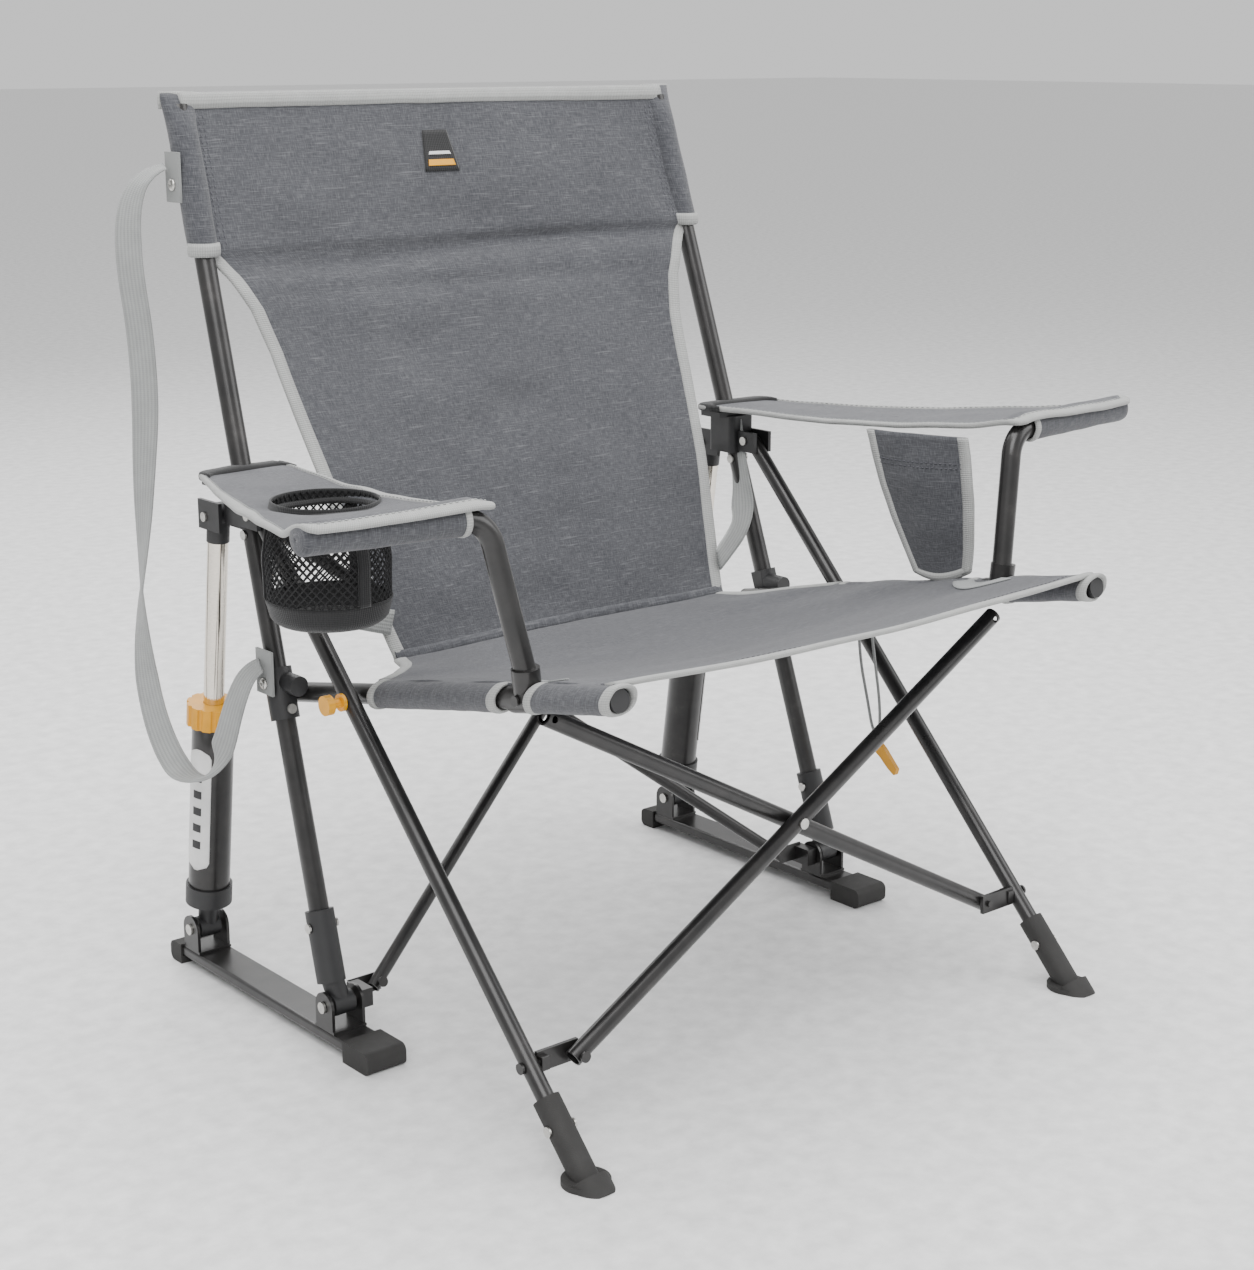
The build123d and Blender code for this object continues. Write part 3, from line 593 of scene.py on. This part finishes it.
# Plain woven patch on the back: a dark ground with a stripe, no lettering.
def on_back(x, z, lift):
    p = np.array(back_point(x / back_half_width(z), z))
    return p + np.array([0, -1.0, 0.3]) / 1.044 * lift


def back_patch(name, half_low, half_high, low, high, lift, mat):
    grid = []
    for u in np.linspace(-1, 1, 14):
        grid.append(
            [
                on_back(
                    u * (half_low + (half_high - half_low) * v), low + (high - low) * v, lift
                ) for v in np.linspace(0, 1, 10)
            ]
        )
    piece = shell(name, np.array(grid), 0.0012, mat)
    ride_fold(piece)
    return piece


back_patch("patch_ground", 0.021, 0.015, 0.776, 0.816, 0.0022, TAPE)
back_patch("patch_stripe", 0.0165, 0.0150, 0.781, 0.787, 0.0031, YELLOW)
back_patch("patch_band", 0.0135, 0.0120, 0.792, 0.795, 0.0031, LABEL)

# Straps that draw the back's lower sides to the arm brackets.
for side in (LEFT, RIGHT):
    path = [(side * 0.301, 0.186, 0.506), (side * 0.300, 0.178, 0.470), (side * 0.298, 0.166, 0.425),
            (side * 0.280, 0.148, 0.398), (side * 0.245, 0.126, 0.386), (side * 0.206, 0.104, 0.376)]
    line = spline_points("lumbar_route", path)
    share = np.linspace(0, 1, len(line))[:, None]
    across = np.array([0, 1.0, 0.1]) * (1 - share) + np.array([0, 0.15, 1.0]) * share
    piece = ribbon(f"lumbar_strap_{SIDE[side]}", line, across, 0.024, 0.0018, STRAP)
    ride_fold(piece)

# ---- seat ---------------------------------------------------------------------------------------
SEAT_FRONT, SEAT_REAR, SLEEVE_REAR = -0.322, 0.100, 0.004


def seat_half_width(y):
    if y <= SLEEVE_REAR:
        return 0.2885
    return float(
        np.interp(y, [SLEEVE_REAR, 0.02, 0.045, 0.07, SEAT_REAR], [0.287, 0.262, 0.238, 0.220, 0.207])
    )


def seat_point(u, y):
    half = seat_half_width(y)
    x = u * half
    z = seat_rail_at(y)[2] + 0.0117
    slack = 1 - u * u
    depth = (y - SEAT_FRONT) / (SEAT_REAR - SEAT_FRONT)
    rear = max(0.0, (y - 0.01) / 0.09)
    z += 0.0035 * rear
    sag = 0.020 * slack * (0.35 + sin(pi * min(1, depth * 0.95))) * (1 - depth**5)
    wrinkle = 0.0022 * smooth_noise((x * 0.5, y * 1.6, 0), 13.0, 8.0) * (0.3 + slack)
    edge_pull = 0.0016 * sin(70 * y) * np.exp(-((abs(u) - 0.9) / 0.12) ** 2)
    return (x, y + 0.008 * slack * depth**6, z - sag + wrinkle * (1 - depth**6) + edge_pull)


def ride_seat(piece):
    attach(piece, "seat_l")
    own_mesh(piece)


ys = np.linspace(SEAT_FRONT, SEAT_REAR, 80)
seat_grid = np.array([[seat_point(u, y) for y in ys] for u in us])
seat_normal = normals_of(seat_grid)
seat = shell("seat_panel", seat_grid, 0.0026, CLOTH, seat_normal)
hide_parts("seat_fabric")
ride_seat(seat)

front = seat_grid[:, 0]
ride_seat(binding("seat_front_edge", front, seat_grid[:, 1] - front, seat_normal[:, 0], 0.012, 0.0026))
ride_seat(stitches("seat_front_stitch", seat_grid[:, 5], seat_normal[:, 5], 0.0016))
first = int(np.argmin(np.abs(ys - SLEEVE_REAR)))
for side in (LEFT, RIGHT):
    col, inner = (0, 1) if side == LEFT else (-1, -2)
    edge = seat_grid[col, first:]
    piece = binding(
        f"seat_corner_{SIDE[side]}", edge, seat_grid[inner, first:] - edge, seat_normal[col, first:], 0.012,
        0.0026
    )
    ride_seat(piece)

for side in (LEFT, RIGHT):
    s = SIDE[side]
    for part, (y0, y1) in enumerate(((-0.327, -0.223), (-0.181, SLEEVE_REAR))):
        rings, turns = 26, 40
        grid = np.zeros((turns, rings, 3))
        for j, y in enumerate(np.linspace(y0, y1, rings)):
            centre = seat_rail_at(y, side)
            for i in range(turns):
                t = 2 * pi * i / turns
                r = 0.0124 + 0.0008 * smooth_noise((cos(t), sin(t), y * 30), 1.5, 6.0 + side)
                if part == 0 and y < -0.29:
                    droop = (-0.29 - y) / 0.037
                    r *= 1 + 0.28 * droop * max(0.0, cos(t - (pi if side == RIGHT else 0))) ** 2
                grid[i, j] = centre + np.array([cos(t) * r, -0.2 * sin(t) * r, sin(t) * r]) * [1, 1, 0.98]
        piece = shell(f"seat_sleeve_{s}_{part}", grid, 0.0018, CLOTH, closed=True)
        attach(piece, f"seat_{s}")
        for end, j, way in (("front", 0, 1.0), ("rear", -1, -1.0)):
            ring = grid[:, j]
            centre = np.mean(ring, axis=0)
            inward = np.tile([0, way, -0.2 * way], (turns, 1))
            hem = binding(
                f"seat_sleeve_{s}_{part}_{end}", ring, inward, ring - centre, 0.009, 0.0021, closed=True
            )
            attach(hem, f"seat_{s}")
    # Reinforcement round the hole for the arm support.
    grid = []
    for t in np.linspace(0.15 * pi, 0.85 * pi, 20):
        row = []
        for r in np.linspace(0.014, 0.030, 6):
            x = side * (0.288 - sin(t) * r * 1.25)
            y = -0.203 + cos(t) * r * 1.35
            p = np.array(seat_point(x / seat_half_width(y), y))
            row.append(p + [0, 0, 0.0024])
        grid.append(row)
    grid = np.array(grid)
    piece = shell(f"seat_hole_patch_{s}", grid if side == LEFT else grid[::-1], 0.0014, PALE_PATCH)
    ride_seat(piece)

# ---- armrests -----------------------------------------------------------------------------------
def arm_height(x, y):
    """Height of the armrest's cloth: over the arm support in front, sagging a little behind it."""
    ax = abs(x)
    base = 0.5205 + (0.207 - y) * 0.0605
    crest = 0.0105 * np.exp(-((y + 0.192) / 0.022) ** 2) * (1 if ax > 0.33 else max(0.3, (ax - 0.30) / 0.03))
    dip = 0.0085 * sin(pi * np.clip((0.207 - y) / 0.40, 0, 1)) * (1 - ((ax - 0.35) / 0.16) ** 2)
    return base + crest - max(0.0, dip) + 0.0014 * smooth_noise((x, y, 0), 24.0, 11.0)


def arm_outline(side, count):
    """Points round the armrest's outline, with rounded corners."""
    corners = [
        (0.262, 0.205), (0.350, 0.200), (0.430, -0.020), (0.486, -0.176), (0.484, -0.207), (0.400, -0.210),
        (0.312, -0.208), (0.290, -0.02)
    ]
    pts = []
    rounded = {0: 0.012, 1: 0.012, 3: 0.010, 4: 0.010, 6: 0.012}
    for k, c in enumerate(corners):
        c = np.array(c)
        before, after = np.array(corners[k - 1]), np.array(corners[(k + 1) % len(corners)])
        r = rounded.get(k, 0.05)
        a, b = c + unit(before - c) * r, c + unit(after - c) * r
        for t in np.linspace(0, 1, 7):
            pts.append((1 - t) ** 2 * a + 2 * t * (1 - t) * c + t * t * b)
    pts = np.array(pts + [pts[0]])
    steps = np.concatenate([[0], np.cumsum(np.linalg.norm(np.diff(pts, axis=0), axis=1))])
    where = np.linspace(0, steps[-1], count, endpoint=False)
    ring = np.stack([np.interp(where, steps, pts[:, k]) for k in range(2)], axis=1)
    ring[:, 0] *= side
    return ring


def ride_arm(piece):
    """Armrest cloth: its placement baked into the mesh, tied to no moving part."""
    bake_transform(piece)


CUP = (0.348, -0.012)
ARM_SLEEVE_R = 0.0122
for side in (LEFT, RIGHT):
    s = SIDE[side]
    ring = arm_outline(side, 160)
    centre = np.array([side * CUP[0], CUP[1]])
    hole = 0.0445 if side == LEFT else 0.0004
    rows = 26
    grid = np.zeros((len(ring), rows, 3))
    for i, p in enumerate(ring):
        way = unit(p - centre)
        inner = centre + way * hole
        for j, t in enumerate(np.linspace(0, 1, rows)):
            q = inner + (p - inner) * t
            z = arm_height(q[0], q[1])
            if hole > 0.01:
                z -= 0.004 * np.exp(-t * 9)
            grid[i, j] = (q[0], q[1], z)
    if side == LEFT:
        grid = grid[::-1]
    n = normals_of(grid, closed=True)
    up = np.where(n[..., 2:3] < 0, -1.0, 1.0)
    n = n * up
    uv = grid[..., :2].copy()
    piece = shell(f"armrest_panel_{s}", grid, 0.0026, CLOTH, n, closed=True, uv=uv)
    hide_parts(f"armrest_{s}")
    ride_arm(piece)
    edge = grid[:, -1]
    rear = edge[:, 1] > 0.185
    piece = binding(f"armrest_edge_{s}", edge, grid[:, -3] - edge, n[:, -1], 0.011, 0.0027, closed=True)
    ride_arm(piece)
    keep = np.where(rear)[0]
    order = keep[np.argsort(edge[keep, 0])]
    line = edge[order] + [0, 0.0012, 0]
    piece = binding(
        f"armrest_tape_{s}", line, np.tile([0, -1.0, 0.05], (len(line), 1)),
        np.tile([0, 0, 1.0], (len(line), 1)), 0.019, 0.0037, TAPE
    )
    ride_arm(piece)
    seam = grid[:, -1] + unit(grid[:, -3] - edge) * 0.0095
    piece = stitches(f"armrest_stitch_{s}", seam, n[:, -1], 0.0027, PALE_THREAD)
    ride_arm(piece)
    # The cloth's front sleeve, round the outer run of the arm support.
    turns, rings = 40, 40
    grid_s = np.zeros((turns, rings, 3))
    # The last rings draw in over the tube's open end, as a sewn cap.
    sleeve_x = list(np.linspace(0.338, 0.4835, rings - 4)) + [0.4850, 0.4858, 0.4862, 0.4863]
    sleeve_r = [1.0] * (rings - 4) + [0.86, 0.60, 0.30, 0.04]
    for j, x in enumerate(sleeve_x):
        share = (x - 0.316) / 0.162
        axis_y, axis_z = -0.196 + 0.006 * share, 0.540 + 0.004 * share
        for i in range(turns):
            t = 2 * pi * i / turns
            r = ARM_SLEEVE_R + 0.0007 * smooth_noise((cos(t), sin(t), x * 30), 1.6, 13.0 + side)
            r *= sleeve_r[j]
            grid_s[i, j] = (side * x, axis_y + cos(t) * r, axis_z + sin(t) * r)
    piece = shell(f"armrest_sleeve_{s}", grid_s, 0.0018, CLOTH, closed=True)
    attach(piece, f"seat_{s}")
    ring_s = grid_s[:, 0]
    middle = np.mean(ring_s, axis=0)
    piece = binding(
        f"armrest_sleeve_{s}_inner", ring_s, np.tile([side, 0, 0], (turns, 1)), ring_s - middle, 0.005,
        0.0018, closed=True
    )
    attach(piece, f"seat_{s}")
    # Seams of the sleeve that takes the arm support.
    xs = np.linspace(0.325, 0.462, 50)
    line = np.array([(side * x, -0.166, arm_height(side * x, -0.166)) for x in xs])
    piece = stitches(f"armrest_sleeve_stitch_{s}", line, np.tile([0, 0, 1.0], (50, 1)), 0.0016)
    ride_arm(piece)

# ---- cup basket ---------------------------------------------------------------------------------
cup_centre = np.array([-CUP[0], CUP[1]])


def basket_radius(z):
    return float(
        np.interp(
            z, [0.424, 0.430, 0.447, 0.480, 0.510, 0.530], [0.040, 0.0485, 0.0530, 0.0535, 0.0495, 0.0450]
        )
    )


def basket_point(t, z, lift=0.0):
    r = basket_radius(z) + lift + 0.0008 * smooth_noise((cos(t), sin(t), z * 20), 2.0, 4.0)
    return np.array([cup_centre[0] + cos(t) * r, cup_centre[1] + sin(t) * r, z])


around, levels = 46, 22
net_verts, net_faces = [], []
for row in range(levels + 1):
    z = 0.444 + (0.529 - 0.444) * row / levels
    for k in range(around):
        net_verts.append(basket_point(2 * pi * (k + 0.5 * (row % 2)) / around, z))
for row in range(levels - 1):
    for k in range(around):
        a = row * around + k
        shift = row % 2
        left = (row + 1) * around + (k - 1 + shift) % around
        right = (row + 1) * around + (k + shift) % around
        net_faces.append((a, right, (row + 2) * around + k, left))
net = mesh_object("cup_net", net_verts, net_faces, NET, None)
wire = net.modifiers.new("wire", "WIREFRAME")
wire.thickness = 0.0017
wire.use_replace = True
bpy.context.view_layer.objects.active = net
bpy.context.view_layer.update()
solid = bpy.data.meshes.new_from_object(net.evaluated_get(bpy.context.evaluated_depsgraph_get()))
net.modifiers.clear()
net.data = solid
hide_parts("cup_holder")
ride_arm(net)


def basket_band(name, t0, t1, z0, z1, mat, lift=0.001, steps=(72, 8)):
    closed = t1 - t0 > 6.2
    ts = np.linspace(t0, t1, steps[0], endpoint=not closed)
    grid = np.array([[basket_point(t, z, lift) for z in np.linspace(z0, z1, steps[1])] for t in ts])
    piece = shell(name, grid, 0.0016, mat, closed=closed)
    ride_arm(piece)


basket_band("cup_base_band", 0, 2 * pi, 0.4255, 0.447, TAPE)
basket_band("cup_rim_band", 0, 2 * pi, 0.521, 0.5305, TAPE)
for number, t in enumerate((radians(-95), radians(25), radians(145))):
    basket_band(f"cup_strip_{number}", t, t + 0.22, 0.446, 0.523, TAPE, 0.0014, (6, 20))
base = np.array([[basket_point(t, 0.4265) * [1, 1, 1] * 1.0 for _ in (0,)] + [
    np.array(
        [cup_centre[0] + cos(t) * r, cup_centre[1] + sin(t) * r, 0.4258]
    ) for r in (0.036, 0.024, 0.012, 0.0005)]
    for t in np.linspace(0, 2 * pi, 48, endpoint=False)])
piece = shell(
    "cup_base", base, 0.0014, TAPE, np.tile([0, 0, 1.0], (48, 5, 1)), closed=True
)
ride_arm(piece)
ring = np.array(
    [
        [
            cup_centre[0] + cos(t) * 0.0445, cup_centre[1] + sin(t) * 0.0445, 0
        ] for t in np.linspace(0, 2 * pi, 64, endpoint=False)
    ]
)
ring[:, 2] = [arm_height(p[0], p[1]) - 0.004 for p in ring]
outward = ring - np.array([*cup_centre, 0])
outward[:, 2] = 0
piece = binding(
    "cup_hole_edge", ring, outward, np.tile([0, 0, 1.0], (64, 1)), 0.008, 0.0030, TAPE, closed=True
)
ride_arm(piece)

# ---- pocket on the +X armrest -------------------------------------------------------------------
def pocket_point(u, v):
    """u from the rear edge to the front edge, v from the bottom to the top."""
    low = np.array([-0.102 - 0.072 * u, 0.388 + 0.012 * u - 0.008 * sin(pi * u)])
    high = np.array([-0.031 - 0.131 * u, 0.5235 + 0.008 * u])
    y, z = low + (high - low) * v
    y += 0.006 * sin(pi * v) * (2 * u - 1) * -1
    puff = 0.0055 * sin(pi * min(1, u * 1.0)) * sin(pi * v * 0.9)
    fold = 0.0018 * smooth_noise((0, y, z), 30.0, 2.0)
    return np.array([0.2865 - puff + fold, y, z])


us_p, vs_p = np.linspace(0, 1, 30), np.linspace(0, 1, 32)
pocket_grid = np.array([[pocket_point(u, v) for v in vs_p] for u in us_p])
pocket_normal = normals_of(pocket_grid)
piece = shell("pocket_panel", pocket_grid, 0.0034, CLOTH, pocket_normal)
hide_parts("accessory_pocket")
ride_arm(piece)
for name, edge, inner, n in (
    ("pocket_edge_rear", pocket_grid[0], pocket_grid[1], pocket_normal[0]),
    ("pocket_edge_front", pocket_grid[-1], pocket_grid[-2], pocket_normal[-1]),
):
    piece = binding(name, edge, inner - edge, n, 0.010, 0.0030)
    ride_arm(piece)
piece = binding(
    "pocket_edge_low", pocket_grid[:, 0], pocket_grid[:, 1] - pocket_grid[:, 0], pocket_normal[:, 0], 0.007,
    0.0030
)
ride_arm(piece)
for number, row in enumerate((24, 25)):
    piece = stitches(
        f"pocket_seam_{number}", pocket_grid[:, row], pocket_normal[:, row],
        0.0020 if pocket_normal[5, row, 0] < 0 else -0.0020
    )
    ride_arm(piece)

# ---- carry strap and closing loop ---------------------------------------------------------------
CARRY_ROUTE = [
    (-0.3154, 0.296, 0.792), (-0.333, 0.304, 0.786), (-0.350, 0.307, 0.756), (-0.354, 0.303, 0.704),
    (-0.347, 0.301, 0.640), (-0.348, 0.296, 0.574), (-0.353, 0.298, 0.508), (-0.354, 0.305, 0.442),
    (-0.360, 0.306, 0.376), (-0.364, 0.297, 0.312), (-0.364, 0.274, 0.256), (-0.361, 0.238, 0.222),
    (-0.358, 0.196, 0.230), (-0.355, 0.168, 0.268), (-0.349, 0.154, 0.314), (-0.340, 0.143, 0.344),
    (-0.330, 0.137, 0.350),
]
line = spline_points("carry_route", CARRY_ROUTE)
share = np.linspace(0, 1, len(line))
turn = np.interp(share, [0, 0.05, 0.14, 0.30, 0.40, 0.48, 0.57, 0.68, 0.76, 0.83, 0.92, 1.0],
                 [0.0, 0.2, 0.75, 0.85, 0.2, -0.45, 0.5, 0.9, 1.9, 3.5, 3.3, pi])
across = np.stack([np.sin(turn) * -1.0, np.cos(turn), 0.0 * turn], axis=1)
strap = ribbon("carry_webbing", line, across, 0.025, 0.0019, STRAP)
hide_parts("carry_strap")
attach(strap, "side_l")

CLOSURE_ROUTE = [
    (0.286, -0.024, 0.3355), (0.284, -0.029, 0.288), (0.287, -0.040, 0.240), (0.288, -0.048, 0.206),
    (0.290, -0.056, 0.206), (0.288, -0.057, 0.240), (0.285, -0.050, 0.288), (0.286, -0.040, 0.3376),
]
curve = bpy.data.curves.new("closing_cord", "CURVE")
curve.dimensions = "3D"
curve.bevel_depth = 0.0016
curve.bevel_resolution = 3
curve.resolution_u = 12
spline = curve.splines.new("NURBS")
spline.points.add(len(CLOSURE_ROUTE) - 1)
for p, co in zip(spline.points, CLOSURE_ROUTE):
    p.co = (*co, 1.0)
spline.order_u = 3
spline.use_endpoint_u = True
curve.materials.append(STRAP)
loop = bpy.data.objects.new("closing_cord", curve)
bpy.context.scene.collection.objects.link(loop)
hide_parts("closure_loop")
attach(loop, "seat_r")

# ---- rivets -------------------------------------------------------------------------------------
def rivet(name, place, axis, radius, body):
    """Domed rivet head with a rolled rim and a dimple."""
    axis = unit(np.array(axis, float))
    other = unit(np.cross(axis, [0.0, 0.3, 1.0] if abs(axis[2]) < 0.9 else [1.0, 0, 0]))
    third = np.cross(axis, other)
    profile = [(1.0, 0.0), (1.02, 0.15), (0.92, 0.34), (0.66, 0.50), (0.34, 0.56), (0.2, 0.44), (0.0, 0.42)]
    verts, faces = [], []
    for r, h in profile:
        for k in range(24):
            t = 2 * pi * k / 24
            verts.append(
                np.array(place) + (other * cos(t) + third * sin(t)) * r * radius + axis * h * radius
            )
    for row in range(len(profile) - 1):
        for k in range(24):
            q = (k + 1) % 24
            faces.append((row * 24 + k, row * 24 + q, row * 24 + 24 + q, row * 24 + 24 + k))
    faces.append(tuple(range(24))[::-1])
    piece = mesh_object(name, verts, faces, ZINC, None)
    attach(piece, body)


# Direction square to the plane in which the rear cross tubes turn.
REAR_CROSS_NORMAL = np.array([0, -0.9384, 0.3457])
TAB_RIVET_R, CROSS_RIVET_R = 0.0055, 0.0048
rivet("tab_rivet_top", (-0.3111, 0.291, 0.775), (-1, 0, 0), TAB_RIVET_R, "side_l")
rivet("tab_rivet_low", (-0.3259, 0.139, 0.331), (-1, 0, 0), TAB_RIVET_R, "side_l")
rivet(
    "rear_cross_rivet_low", np.array([0.268, 0.062, 0.044]) + REAR_CROSS_NORMAL * -0.0005,
    REAR_CROSS_NORMAL, CROSS_RIVET_R, "rear_a"
)
for side in (LEFT, RIGHT):
    base = np.array([-side * 0.268, 0.216, 0.462])
    rivet(
        f"rear_cross_rivet_top_{SIDE[side]}",
        base + REAR_CROSS_NORMAL * (0.0132 if side == LEFT else -0.0004),
        REAR_CROSS_NORMAL, CROSS_RIVET_R, "rear_b" if side == LEFT else "rear_a"
    )

# ---- labels on the struts: plain and pale, with short dark bars ----------------------------------
def strut_patch(name, side, s0, s1, half_angle, lift, mat, round_ends=0.0):
    s = SIDE[side]
    axis = unit(strut_at(1.0) - strut_at(0.0))
    out = np.array([1.0 * side, 0, 0])
    third = np.cross(axis, out)
    grid = []
    for a in np.linspace(-1, 1, 24):
        row = []
        for t in np.linspace(0, 1, 30):
            pos = s0 + (s1 - s0) * t
            reach = half_angle
            if round_ends:
                gap = min(pos - s0, s1 - pos) / round_ends
                reach *= sqrt(max(0.02, 1 - (1 - min(1.0, gap)) ** 2))
            angle = a * reach - 0.35 * side
            row.append(strut_at(pos, side) + (out * cos(angle) + third * sin(angle)) * (0.0205 + lift))
        grid.append(row)
    piece = shell(name, np.array(grid), 0.0006, mat)
    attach(piece, f"strut_{s}")


for side in (LEFT, RIGHT):
    s = SIDE[side]
    strut_patch(f"strut_label_{s}", side, 0.070, 0.200, 0.66, 0.0006, LABEL, 0.010)
    for number in range(5):
        low = 0.094 + 0.018 * number
        strut_patch(f"strut_bar_{s}_{number}", side, low, low + 0.008, 0.22, 0.0011, BLACK)
